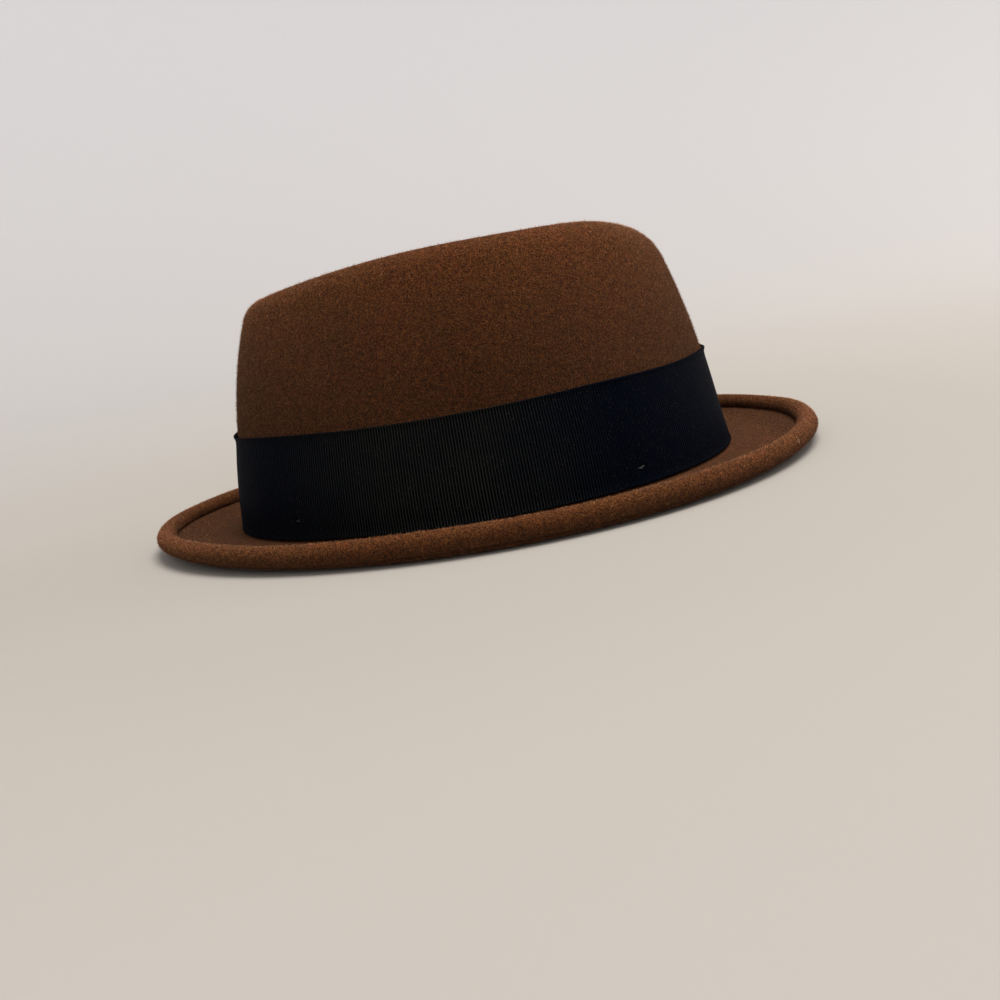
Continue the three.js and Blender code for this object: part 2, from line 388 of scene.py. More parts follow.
def shoulder_at(angle):
    """The rounding between the wall and the ridge: radius, height of its middle, lean, top and inset."""
    radius = SHOULDER_RADIUS * share("round", angle)
    middle = top_height(angle, 1) - radius
    lean = np.arctan(wall_at(angle, middle)[1])
    wall_top = middle + radius * np.sin(lean)
    ridge_inset = wall_at(angle, wall_top)[0] + radius * np.cos(lean)
    return radius, middle, lean, wall_top, ridge_inset


def roll_turns():
    """Turns round the roll, from its raw edge to where the brim runs into it."""
    return ROLL_WRAP * (1 - np.linspace(0, 1, FELT_STEPS["roll"] + 1)) - math.pi / 2


def upper_face(angle):
    """The felt's upper face as rows of (out, up, scale), from the roll's raw edge to the crown's top."""
    rows = []

    def add(out, up, scale=1.0):
        rows.append(np.stack(np.broadcast_arrays(out + 0 * angle, up + 0 * angle, scale + 0 * angle)))

    rise = BRIM_RISE * share("rise", angle)
    width = BRIM_WIDTH * (share("brim", angle) - BRIM_NARROWING * np.sin(2 * angle) ** 2)
    roll_middle = width - FELT_THICKNESS - ROLL_HOLLOW_WIDTH / 2
    half_hollow = ROLL_HOLLOW_HEIGHT * share("roll", angle) / 2
    roll_centre = rise + FELT_THICKNESS + half_hollow
    for turn in roll_turns():
        out = roll_middle + ROLL_HOLLOW_WIDTH / 2 * math.cos(turn)
        add(out, roll_centre + half_hollow * math.sin(turn))
    for part in np.linspace(1, 0, FELT_STEPS["brim"] + 1)[1:]:
        add(REST_RING_END + (roll_middle - REST_RING_END) * part, FELT_THICKNESS + rise * smooth(part))
    for part in RING_PARTS:
        add(REST_RING_START + (REST_RING_END - REST_RING_START) * part, FELT_THICKNESS)
    for part in np.linspace(0, 1, FELT_STEPS["fillet"] + 1)[:-1]:
        turn = part * math.pi / 2
        out = BREAK_FILLET * (1 - math.sin(turn))
        add(out, FELT_THICKNESS + BREAK_FILLET * (1 - math.cos(turn)))
    radius, middle, lean, wall_top, ridge_inset = shoulder_at(angle)
    for part in np.linspace(0, 1, FELT_STEPS["wall"] + 1)[:-1]:
        height = BREAK_FILLET + (wall_top - BREAK_FILLET) * part
        add(-wall_at(angle, height)[0], FELT_THICKNESS + height)
    for part in np.linspace(0, 1, FELT_STEPS["shoulder"] + 1):
        turn = lean + (math.pi / 2 - lean) * part
        add(radius * np.cos(turn) - ridge_inset, FELT_THICKNESS + middle + radius * np.sin(turn))
    for part in np.linspace(0, 1, FELT_STEPS["groove"] + 1)[1:]:
        out = -ridge_inset - GROOVE_WIDTH * part
        reach = (OVAL_HALF_LENGTH + out) / (OVAL_HALF_LENGTH - ridge_inset)
        dip = GROOVE_DEPTH * (1 - math.cos(TURN * part)) / 2 + PLATEAU_DROP * smooth(part)
        add(out, FELT_THICKNESS + top_height(angle, reach) - dip)
    edge = -ridge_inset - GROOVE_WIDTH
    edge_reach = (OVAL_HALF_LENGTH + edge) / (OVAL_HALF_LENGTH - ridge_inset)
    for scale in np.linspace(1, 0, FELT_STEPS["plateau"] + 1)[1:-1]:
        height = top_height(angle, edge_reach * scale) - PLATEAU_DROP
        add(edge, FELT_THICKNESS + height, scale)
    return np.array(rows)


def offset_face(face, distance):
    """A face moved off itself by a distance, each point to where its neighbouring edges meet again."""
    from_middle = (OVAL_HALF_LENGTH + face[:, 0]) * face[:, 2]
    run = np.diff(from_middle, axis=0)
    climb = np.diff(face[:, 1], axis=0)
    length = np.hypot(run, climb)
    normal_out = climb / length
    normal_up = -run / length
    before_out = np.concatenate([normal_out[:1], normal_out])
    after_out = np.concatenate([normal_out, normal_out[-1:]])
    before_up = np.concatenate([normal_up[:1], normal_up])
    after_up = np.concatenate([normal_up, normal_up[-1:]])
    spread = 1 + before_out * after_out + before_up * after_up
    moved = face.copy()
    moved[:, 0] += distance * (before_out + after_out) / spread
    moved[:, 1] += distance * (before_up + after_up) / spread
    return moved


def waved(points):
    """Points moved by the felt's small unevenness, which dies away towards the plane it rests on."""
    reach = WAVE_DEPTH * smooth((points[..., 2] - WAVE_FREE_HEIGHT) / (WAVE_FULL_HEIGHT - WAVE_FREE_HEIGHT))
    shift = np.zeros_like(points)
    for direction, length, start in WAVES:
        along = points @ (np.array(direction) / np.linalg.norm(direction))
        swing = np.sin(TURN * along / length + start)
        shift += swing[..., None] * np.array([direction[1], direction[2], direction[0]])
    return points + shift * reach[..., None]


def roll_crease(turns):
    """How deep in the crease each turn round the roll is, up to 1."""
    return np.exp(-((turns - ROLL_CREASE_TURN) / ROLL_CREASE_WIDTH) ** 2)


def crease_strength(angle):
    """How strongly the iron pressed the crease at an angle, up to 1."""
    strength = CREASE_MEAN
    for swings, size, start in CREASE_SWINGS:
        strength = strength + size * np.sin(swings * angle + start)
    return strength


def roll_flank(turns):
    """How far onto the roll's inner side each turn round the roll is, up to 1."""
    return smooth((turns - ROLL_FLANK_START) / ROLL_FLANK_REACH)


def felt_section(angle):
    """Rows of the felt's section at each angle: down its upper face to the raw edge, and back below."""
    upper = upper_face(angle)
    lower = offset_face(upper, -FELT_THICKNESS)
    turns = roll_turns()
    pressed = roll_crease(turns)
    depth = ROLL_CREASE_DEPTH * pressed[:, None] * crease_strength(angle)
    rolled = len(turns)
    lower[:rolled, 0] -= depth * np.cos(turns)[:, None]
    lower[:rolled, 1] -= depth * np.sin(turns)[:, None]
    half = (upper[0] - lower[0]) / 2
    edge_run = upper[0] - upper[1]
    edge_run[:2] /= np.hypot(edge_run[0], edge_run[1])
    raw_edge = []
    for turn in np.linspace(0, math.pi, RAW_EDGE_STEPS + 2)[1:-1]:
        round_off = half * math.cos(turn) + edge_run * FELT_THICKNESS / 2 * math.sin(turn)
        raw_edge.append(lower[0] + half + round_off)
    rows = np.concatenate([upper[::-1], np.array(raw_edge), lower])
    edge_scale = np.ones((RAW_EDGE_STEPS, angle.size))
    rows[:, 2] = np.concatenate([upper[::-1, 2], edge_scale, lower[:, 2]])
    return rows


def felt_rings():
    """The felt's rings of points: down its upper face from the crown's top, and back in below."""
    angle = np.arange(FELT_SEGMENTS) * TURN / FELT_SEGMENTS
    rows = felt_section(angle)
    return waved(oval_point(angle, rows[:, 0], rows[:, 1], rows[:, 2]))


def ring_faces(rings, segments, closed):
    """Faces between rings of points, and each corner's column and ring counted on past the seams."""
    bands = rings if closed else rings - 1
    ring, column = np.meshgrid(np.arange(bands), np.arange(segments), indexing="ij")
    ring_steps = [ring, ring + 1, ring + 1, ring]
    column_steps = [column, column, column + 1, column + 1]
    corners = [(r % rings) * segments + c % segments for r, c in zip(ring_steps, column_steps)]
    faces = np.stack(corners, axis=-1).reshape(-1, 4)
    places = np.stack([np.stack(column_steps, axis=-1), np.stack(ring_steps, axis=-1)], axis=-1)
    return faces, places.reshape(-1, 4, 2)


def along_section(rings):
    """Each ring's distance along the section as a share of all of it, measured at the right side."""
    line = rings[:, 0]
    length = np.concatenate([[0], np.cumsum(np.linalg.norm(np.diff(line, axis=0), axis=1))])
    return length / length[-1]


def mark_points(piece, name, values):
    """A value for each point of a piece, which its material can read."""
    piece.data.attributes.new(name, "FLOAT", "POINT").data.foreach_set("value", values)


def mesh_piece(name, points, faces, material, places):
    """A piece from points in millimetres, blocks of equal-sided faces and their places on the bake map."""
    points = np.asarray(points, dtype=np.float32) * MM
    mesh = bpy.data.meshes.new(name)
    mesh.vertices.add(len(points))
    mesh.vertices.foreach_set("co", points.ravel())
    sides = np.concatenate([np.full(len(block), block.shape[1]) for block in faces])
    corners = np.concatenate([block.ravel() for block in faces]).astype(np.int32)
    mesh.loops.add(len(corners))
    mesh.loops.foreach_set("vertex_index", corners)
    mesh.polygons.add(len(sides))
    starts = np.concatenate([[0], np.cumsum(sides)[:-1]]).astype(np.int32)
    mesh.polygons.foreach_set("loop_start", starts)
    mesh.polygons.foreach_set("use_smooth", np.ones(len(sides), dtype=bool))
    mesh.update(calc_edges=True)
    mesh.validate()
    layer = mesh.uv_layers.new(name="OFBake")
    uv = np.concatenate([np.asarray(block, dtype=np.float32).reshape(-1, 2) for block in places])
    layer.uv.foreach_set("vector", uv.ravel())
    mesh.materials.append(material)
    piece = bpy.data.objects.new(name, mesh)
    bpy.context.scene.collection.objects.link(piece)
    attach(piece, "root")
    return piece


def felt_hat(rings, material):
    """The felt body: crown, groove, brim and rolled edge in one skin.

    Its points carry painted shade: in the roll's crease, as strongly as it is pressed, and on its inner
    side.
    """
    top = FELT_THICKNESS + CROWN_HEIGHT - PLATEAU_DROP
    middles = waved(np.array([[0, CROWN_CENTRE, top], [0, CROWN_CENTRE, top - FELT_THICKNESS]]))
    points = np.concatenate([rings.reshape(-1, 3), middles])
    faces, steps = ring_faces(len(rings), FELT_SEGMENTS, closed=False)
    run = FELT_MARGIN + (1 - 2 * FELT_MARGIN) * along_section(rings)
    places = np.stack([steps[..., 0] / FELT_SEGMENTS, run[steps[..., 1]]], axis=-1)
    column = np.arange(FELT_SEGMENTS)
    after = (column + 1) % FELT_SEGMENTS
    count = len(rings) * FELT_SEGMENTS
    inner = count - FELT_SEGMENTS
    top_fan = np.stack([np.full(FELT_SEGMENTS, count), column, after], axis=-1)
    inner_fan = np.stack([np.full(FELT_SEGMENTS, count + 1), inner + after, inner + column], axis=-1)
    fan_turns = np.stack([column + 0.5, column, column + 1], axis=-1) / FELT_SEGMENTS
    inner_turns = np.stack([column + 0.5, column + 1, column], axis=-1) / FELT_SEGMENTS
    top_run = np.broadcast_to([0, run[0], run[0]], fan_turns.shape)
    inner_run = np.broadcast_to([1, run[-1], run[-1]], fan_turns.shape)
    places = [places, np.stack([fan_turns, top_run], axis=-1), np.stack([inner_turns, inner_run], axis=-1)]
    piece = mesh_piece("felt_hat", points, [faces, top_fan, inner_fan], material, places)
    turns = roll_turns()
    # Painted shade: points in the roll's crease and on its inner side are marked dark
    dark = np.zeros((len(rings), FELT_SEGMENTS))
    first = len(rings) - UPPER_ROWS
    flank = ROLL_FLANK_PAINTED_SHADE * roll_flank(turns)
    strength = crease_strength(column * TURN / FELT_SEGMENTS)
    dark[first:first + len(turns)] = roll_crease(turns)[:, None] * strength + flank[:, None]
    mark_points(piece, "dark", np.append(dark.ravel(), [0, 0]))
    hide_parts("felt_body")


def ribbon_angles():
    """Angles of the ribbon's columns, at even steps of length so that its ribs are all alike."""
    fine = np.linspace(0, TURN, MEASURING_STEPS + 1)
    inset = wall_at(fine, RIBBON_HEIGHT / 2)[0]
    line = oval_point(fine, -inset + RIBBON_GAP + RIBBON_THICKNESS, 0 * fine)
    length = np.concatenate([[0], np.cumsum(np.linalg.norm(np.diff(line, axis=0), axis=1))])
    ribs = round(length[-1] / RIB_PITCH)
    steps = np.arange(ribs * len(RIB_PROFILE)) * length[-1] / (ribs * len(RIB_PROFILE))
    return np.interp(steps, length, fine), ribs


def lap_end_angle():
    """Where the ribbon's outer end is, past the middle of the left side."""
    return math.pi + RIBBON_LAP / 2 / RIBBON_REACH


def ribbon_layers(angle):
    """How many layers of ribbon lie over each other: one, or two at the lap on the left side."""
    lap_start = math.pi - RIBBON_LAP / 2 / RIBBON_REACH
    rising = smooth((angle - lap_start) * RIBBON_REACH / RIBBON_LAP_RAMP + 1)
    cut = np.clip((lap_end_angle() - angle) * RIBBON_REACH / RIBBON_CUT_EDGE + 1, 0, 1)
    return 1 + rising * np.sqrt(cut)


def ribbon_point(angle, height, outward):
    """Points on the ribbon at a height above the brim, standing off the crown's wall."""
    inset, slope = wall_at(angle, height)
    length = np.hypot(1, slope)
    out = -inset + outward / length
    return oval_point(angle, out, FELT_THICKNESS + height + outward * slope / length)


def top_flare(angle, rise):
    """How far the ribbon's top edge stands off the crown, more in some places than in others."""
    loose = FLARE_MEAN + FLARE_SWING * np.sin(3 * angle + 1.1) * np.sin(2 * angle + 0.3)
    reach = TOP_EDGE_FLARE * loose + END_FLARE * np.abs(np.sin(angle)) ** END_FLARE_SHARPNESS
    return reach * smooth((rise - RIBBON_HEIGHT + FLARE_REACH) / FLARE_REACH)


def tack_dimple(angle, height):
    """How far the tacks pull the ribbon in towards the crown."""
    depth = 0 * angle
    for turn, tack_height, _ in TACKS:
        across = ((angle - turn + math.pi) % TURN - math.pi) * RIBBON_REACH
        distance = np.hypot(across, height - tack_height)
        depth = depth + TACK_DIMPLE * np.exp(-(distance / TACK_DIMPLE_WIDTH) ** 2)
    return depth


def ribbon_band(material):
    """The ribbon: ribs from edge to edge, a beaded selvedge above and below, and its lap."""
    angle, ribs = ribbon_angles()
    rib = np.tile(RIB_PROFILE, ribs)
    layers = ribbon_layers(angle)
    rings = []
    for rise, part, ribbed, beaded, nub in RIBBON_ROWS:
        height = RIBBON_LIFT + rise + SELVEDGE_NUB * nub * rib / max(RIB_PROFILE)
        outward = RIBBON_GAP + RIBBON_THICKNESS * layers * part + ribbed * rib + SELVEDGE_BEAD * beaded
        outward = outward + top_flare(angle, rise) - part * tack_dimple(angle, height)
        rings.append(ribbon_point(angle, height, outward))
    rings = waved(np.array(rings[::-1]))
    faces, steps = ring_faces(len(rings), angle.size, closed=True)
    looped = np.concatenate([rings, rings[:1]])
    places = np.stack([steps[..., 0] / angle.size, along_section(looped)[steps[..., 1]]], axis=-1)
    piece = mesh_piece("ribbed_ribbon", rings.reshape(-1, 3), [faces], material, [places])
    crest = (rib - min(RIB_PROFILE)) / (max(RIB_PROFILE) - min(RIB_PROFILE))
    mark_points(piece, "crest", np.tile(crest, len(rings)))
    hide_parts("ribbon_band")


def tube(path):
    """Rings of points round a thread along a path in millimetres, narrowed to a blunt tip at each end."""
    path = np.asarray(path, dtype=float)
    steps = np.linspace(0, len(path) - 1, THREAD_STEPS * (len(path) - 1) + 1)
    line = np.stack([np.interp(steps, np.arange(len(path)), path[:, axis]) for axis in range(3)], axis=-1)
    for _ in range(THREAD_SMOOTHINGS):
        line[1:-1] = (line[:-2] + 2 * line[1:-1] + line[2:]) / 4
    ahead = np.gradient(line, axis=0)
    ahead /= np.linalg.norm(ahead, axis=1, keepdims=True)
    across = np.cross(ahead, THREAD_ASKEW)
    across /= np.linalg.norm(across, axis=1, keepdims=True)
    beyond = np.cross(ahead, across)
    width = np.full(len(line), THREAD_RADIUS)
    width[[0, -1]] *= THREAD_TIP
    turns = np.arange(THREAD_SIDES) * TURN / THREAD_SIDES
    rings = []
    for middle, a, b, r in zip(line, across, beyond, width):
        rings.append(middle + r * (np.cos(turns)[:, None] * a + np.sin(turns)[:, None] * b))
    return np.array(rings)


def threads(name, paths, material):
    """Threads as closed tubes, side by side on the bake map."""
    points = []
    walls = []
    ends = []
    wall_places = []
    end_places = []
    count = 0
    for number, path in enumerate(paths):
        rings = tube(path)
        faces, steps = ring_faces(len(rings), THREAD_SIDES, closed=False)
        around = (number + steps[..., 0] / THREAD_SIDES) / len(paths)
        along = steps[..., 1] / (len(rings) - 1)
        place = np.stack([around, THREAD_MARGIN + (1 - 2 * THREAD_MARGIN) * along], axis=-1)
        first = count + np.arange(THREAD_SIDES)
        last = first[::-1] + (len(rings) - 1) * THREAD_SIDES
        points.append(rings.reshape(-1, 3))
        walls.append(faces + count)
        wall_places.append(place)
        turns = np.arange(THREAD_SIDES) * TURN / THREAD_SIDES
        disc_across = (number + 0.5 + DISC_WIDTH * np.cos(turns)) / len(paths)
        disc = np.stack([disc_across, DISC_MIDDLE + DISC_HEIGHT * np.sin(turns)], axis=-1)
        ends += [first, last]
        end_places += [disc, disc + [0, 1 - 2 * DISC_MIDDLE]]
        count += rings.shape[0] * THREAD_SIDES
    faces = [np.concatenate(walls), np.array(ends)]
    places = [np.concatenate(wall_places), np.array(end_places)]
    mesh_piece(name, np.concatenate(points), faces, material, places)


def on_ribbon(turn, height, across, up, outward):
    """A point beside a place on the ribbon, in millimetres along it, up it and off it."""
    angle = np.array(turn + across / RIBBON_REACH)
    outward = RIBBON_GAP + RIBBON_THICKNESS * ribbon_layers(angle) + outward
    return waved(ribbon_point(angle, height + up, outward))


def tack_paths(turn, height):
    """One tack: a short slanting stitch pulled into the ribbon, and its loose end."""
    paths = (TACK_STITCH, TACK_LOOSE_END)
    return [[on_ribbon(turn, height, *place) for place in path] for path in paths]


def tacks_of(thread):
    """The paths of all tacks sewn with one thread."""
    return [path for turn, height, sewn in TACKS if sewn == thread for path in tack_paths(turn, height)]


def lap_paths():
    """The stitches over the lap's folded end."""
    turn = lap_end_angle()
    lowest = RIBBON_LIFT + LAP_STITCH_MARGIN
    highest = RIBBON_TOP - LAP_STITCH_MARGIN
    heights = np.linspace(lowest, highest, LAP_STITCHES)
    return [[on_ribbon(turn, height, *place) for place in LAP_STITCH] for height in heights]


def nap(name, rings, columns, comb, material, seed, cover=1.0, long=1.0):
    """Loose hairs on a stretch of felt: each a thin closed spike, leaning every way but for the comb.

    They are spread evenly, times the cover: one share, or one for each band between two rings. Long is a
    share of the hairs' usual length.
    """
    chance = np.random.default_rng(NAP_SEED + seed)
    span = rings[:, np.arange(columns[0], columns[1] + 1) % rings.shape[1]]
    corner, below = span[:-1, :-1], span[1:, :-1]
    beside, far = span[:-1, 1:], span[1:, 1:]
    square = np.cross(below - corner, beside - corner) + np.cross(beside - far, below - far)
    area = np.linalg.norm(square, axis=-1) / 2
    growth = area * cover
    count = round(growth.sum() * HAIRS_PER_MM2)
    chosen = chance.choice(area.size, count, p=(growth / growth.sum()).ravel())
    row, column = np.unravel_index(chosen, area.shape)
    s = chance.random((count, 1))
    t = chance.random((count, 1))
    root = (corner[row, column] * (1 - s) + beside[row, column] * s) * (1 - t)
    root += (below[row, column] * (1 - s) + far[row, column] * s) * t
    normal = square[row, column] / np.linalg.norm(square[row, column], axis=1, keepdims=True)
    stray = chance.normal(size=(count, 3)) * HAIR_LEAN + np.array(comb)
    ahead = normal + stray - normal * np.sum(stray * normal, axis=1, keepdims=True)
    ahead /= np.linalg.norm(ahead, axis=1, keepdims=True)
    across = np.cross(ahead, HAIR_ASKEW)
    across /= np.linalg.norm(across, axis=1, keepdims=True)
    beyond = np.cross(ahead, across)
    length = HAIR_LENGTH * long * (HAIR_SHORTEST + HAIR_SPREAD * chance.random((count, 1)) ** 2)
    foot = root - normal * HAIR_ROOT
    hairs = []
    for turn in (0, TURN / 3, -TURN / 3):
        hairs.append(foot + HAIR_RADIUS * (math.cos(turn) * across + math.sin(turn) * beyond))
    hairs.append(root + ahead * length)
    points = np.stack(hairs, axis=1).reshape(-1, 3)
    points[:, 2] = np.maximum(points[:, 2], HAIR_LOWEST)
    spike = np.array([[0, 2, 1], [0, 1, 3], [1, 2, 3], [2, 0, 3]])
    faces = (np.arange(count)[:, None, None] * 4 + spike).reshape(-1, 3)
    dot = HAIR_DOT / BAKE_PIXELS
    home = np.concatenate([column[:, None] + s, row[:, None] + t], axis=1) / (area.shape[1], area.shape[0])
    spots = np.array([[0, 0], [dot, 0], [0, dot], [dot, dot]])
    places = home[:, None, None] * (1 - dot) + spots[spike]
    mesh_piece(name, points, [faces], material, [places])


def felt_nap(rings, material):
    """The felt's nap on the crown above the ribbon, on the brim's upper side and round its roll."""
    half = FELT_SEGMENTS // 2
    whole = (0, FELT_SEGMENTS)
    brim_end = UPPER_ROWS - FELT_STEPS["roll"]
    brim_start = brim_end - FELT_STEPS["brim"]
    wall_bottom = brim_start - len(RING_PARTS) - FELT_STEPS["fillet"]
    wall_top = wall_bottom - FELT_STEPS["wall"]
    shoulder_top = wall_top - FELT_STEPS["shoulder"]
    wall_height = rings[wall_top:wall_bottom, 0, 2]
    lowest = FELT_THICKNESS + RIBBON_TOP + NAP_OVER_RIBBON
    crown_end = wall_top + int(np.argmax(wall_height < lowest))
    side = rings[shoulder_top:crown_end]
    nap("nap_crown_top", rings[:shoulder_top + 1], whole, NO_COMB, material, 1)
    nap("nap_crown_front", side, (0, half), WALL_COMB, material, 2)
    nap("nap_crown_rear", side, (half, 2 * half), WALL_COMB, material, 3)
    nap("nap_brim", rings[brim_start:brim_end - 1], whole, NO_COMB, material, 4, BRIM_NAP)
    edge_start = UPPER_ROWS - 2
    roll_start = UPPER_ROWS + RAW_EDGE_STEPS
    roll = rings[edge_start:roll_start + FELT_STEPS["roll"] + 1]
    turns = roll_turns()
    between = (turns[:-1] + turns[1:]) / 2
    bare = CREASE_BARE * roll_crease(between) + FLANK_BARE * roll_flank(between)
    bare = np.concatenate([np.full(roll_start - edge_start, FLANK_BARE), bare])
    nap("nap_roll", roll, whole, ROLL_COMB, material, 5, ROLL_NAP * (1 - bare[:, None]), ROLL_HAIR)


def new_group(name, inputs, outputs):
    """An empty node group with named sockets, and its two end nodes."""
    group = bpy.data.node_groups.new(name, "ShaderNodeTree")
    for label, kind in inputs:
        group.interface.new_socket(name=label, in_out="INPUT", socket_type="NodeSocket" + kind)
    for label, kind in outputs:
        group.interface.new_socket(name=label, in_out="OUTPUT", socket_type="NodeSocket" + kind)
    return group, group.nodes.new("NodeGroupInput").outputs, group.nodes.new("NodeGroupOutput").inputs


def put(tree, kind, values, **settings):
    """A node with its settings made and its inputs set or linked."""
    node = tree.nodes.new(kind)
    for name, value in settings.items():
        setattr(node, name, value)
    for name, value in values.items():
        if isinstance(value, bpy.types.NodeSocket):
            tree.links.new(value, node.inputs[name])
        else:
            node.inputs[name].default_value = value
    return node.outputs


def reckon(tree, operation, first, second=0.0):
    """The result of a sum on two values."""
    return put(tree, "ShaderNodeMath", {0: first, 1: second}, operation=operation)[0]


def scaled(tree, vector, amount):
    """A place or a colour times an amount."""
    return put(tree, "ShaderNodeVectorMath", {0: vector, "Scale": amount}, operation="SCALE")[0]


def times(tree, first, second):
    """Two places or two colours multiplied, each part by its own."""
    return put(tree, "ShaderNodeVectorMath", {0: first, 1: second}, operation="MULTIPLY")[0]


def blended(tree, amount, first, second):
    """A colour part of the way from one to another."""
    return put(tree, "ShaderNodeMix", {0: amount, 6: first, 7: second}, data_type="RGBA")[2]


def ranged(tree, value, old_low, old_high, new_low, new_high, **settings):
    """A value carried from one range to another, and held at its ends."""
    sockets = {0: value, 1: old_low, 2: old_high, 3: new_low, 4: new_high}
    return put(tree, "ShaderNodeMapRange", sockets, **settings)[0]


def place_of(tree):
    """Where a point is on the hat, in millimetres."""
    place = put(tree, "ShaderNodeTexCoord", {})["Object"]
    return scaled(tree, place, 1 / MM)


def use(tree, group, values):
    """A group put to use in a tree."""
    return put(tree, "ShaderNodeGroup", values, node_tree=group)


def uneven_group():
    """Soft unevenness of a given size in millimetres, from a low value to a high one."""
    inputs = [("Place", "Vector"), ("Size", "Float"), ("Low", "Float"), ("High", "Float")]
    group, given, out = new_group("soft_unevenness", inputs, [("Value", "Float")])
    fine = reckon(group, "DIVIDE", 1.0, given["Size"])
    noise = {"Vector": given["Place"], "Scale": fine, "Detail": 3.0, "Roughness": 0.6}
    cloud = put(group, "ShaderNodeTexNoise", noise)[0]
    group.links.new(ranged(group, cloud, 0.3, 0.7, given["Low"], given["High"]), out["Value"])
    return group


def mark_group():
    """A small frayed mark round a place: 1 in its middle, 0 outside."""
    inputs = [("Place", "Vector"), ("Middle", "Vector"), ("Size", "Float"), ("Fray", "Float")]
    group, given, out = new_group("frayed_mark", inputs, [("Mask", "Float")])
    apart = put(group, "ShaderNodeVectorMath", {0: given["Place"], 1: given["Middle"]}, operation="DISTANCE")
    noise = {"Vector": given["Place"], "Scale": 1.1, "Detail": 2.0}
    rough = reckon(group, "SUBTRACT", put(group, "ShaderNodeTexNoise", noise)[0], 0.5)
    reach = reckon(group, "ADD", apart["Value"], reckon(group, "MULTIPLY", rough, given["Fray"]))
    part = reckon(group, "DIVIDE", reach, given["Size"])
    mask = ranged(group, part, 0.35, 1.0, 1.0, 0.0, interpolation_type="SMOOTHSTEP")
    group.links.new(mask, out["Mask"])
    return group


def along_ramp(tree, part, stops):
    """A value that runs through stops, each a share of the way and the value there."""
    node = tree.nodes.new("ShaderNodeFloatCurve")
    curve = node.mapping.curves[0]
    node.mapping.clip_max_y = 2.0
    node.mapping.extend = "HORIZONTAL"
    curve.points[0].location = stops[0]
    curve.points[1].location = stops[-1]
    for stop in stops[1:-1]:
        curve.points.new(*stop)
    for point in curve.points:
        point.handle_type = "VECTOR"
    node.mapping.update()
    tree.links.new(part, node.inputs["Value"])
    return node.outputs["Value"]


def felt_colour_group(uneven, mark):
    """The felt's colour at a place: grain, mottling, wide olive and red patches, painted light and shade by
    height, and its few marks.
    """
    inputs = [("Place", "Vector"), ("Colour", "Color"), ("Grain", "Float")]
    outputs = [("Colour", "Color"), ("Grain", "Float")]
    group, given, out = new_group("felt_colour", inputs, outputs)
    place = given["Place"]
    low = reckon(group, "SUBTRACT", 1.0, given["Grain"])
    high = reckon(group, "ADD", 1.0, given["Grain"])
    speck = use(group, uneven, {"Place": place, "Size": 0.52, "Low": low, "High": high})["Value"]
    mottle = use(group, uneven, {"Place": place, "Size": 1.4, "Low": 0.56, "High": 1.44})["Value"]
    broad = use(group, uneven, {"Place": place, "Size": 34.0, "Low": 0.93, "High": 1.07})["Value"]
    olive = use(group, uneven, {"Place": place, "Size": 58.0, "Low": 0.0, "High": 1.0})["Value"]
    shifted = put(group, "ShaderNodeVectorMath", {0: place, 1: PATCH_SHIFT}, operation="ADD")[0]
    red = use(group, uneven, {"Place": shifted, "Size": 47.0, "Low": 0.0, "High": 1.0})["Value"]
    shade = reckon(group, "MULTIPLY", reckon(group, "MULTIPLY", speck, mottle), broad)
    tint = blended(group, red, PLAIN, RED)
    tint = blended(group, reckon(group, "MULTIPLY", olive, OLIVE_STRENGTH), tint, OLIVE)
    fibres = use(group, uneven, {"Place": shifted, "Size": 4.0, "Low": 0.0, "High": 1.0})["Value"]
    tint = times(group, tint, blended(group, fibres, GREEN_FIBRES, PINK_FIBRES))
    tinted = times(group, given["Colour"], tint)
    height = put(group, "ShaderNodeSeparateXYZ", {0: place})["Z"]
    # Painted light and shade: the colour is made lighter or darker by the height of the place
    painted_light = along_ramp(group, reckon(group, "DIVIDE", height, PAINTED_LIGHT_REACH), PAINTED_LIGHT_BY_HEIGHT)
    colour = scaled(group, tinted, reckon(group, "MULTIPLY", shade, painted_light))
    for middle, size, fray, strength, mark_colour in MARKS:
        mask = use(group, mark, {"Place": place, "Middle": middle, "Size": size, "Fray": fray})["Mask"]
        colour = blended(group, reckon(group, "MULTIPLY", mask, strength), colour, mark_colour)
    group.links.new(colour, out["Colour"])
    group.links.new(speck, out["Grain"])
    return group


def shade_tree(name, settings):
    """A material with its shader's plain values set, and its tree and shader."""
    material = bpy.data.materials.new(name)
    material.use_nodes = True
    shader = material.node_tree.nodes["Principled BSDF"]
    for label, value in settings.items():
        shader.inputs[label].default_value = value
    return material, material.node_tree, shader


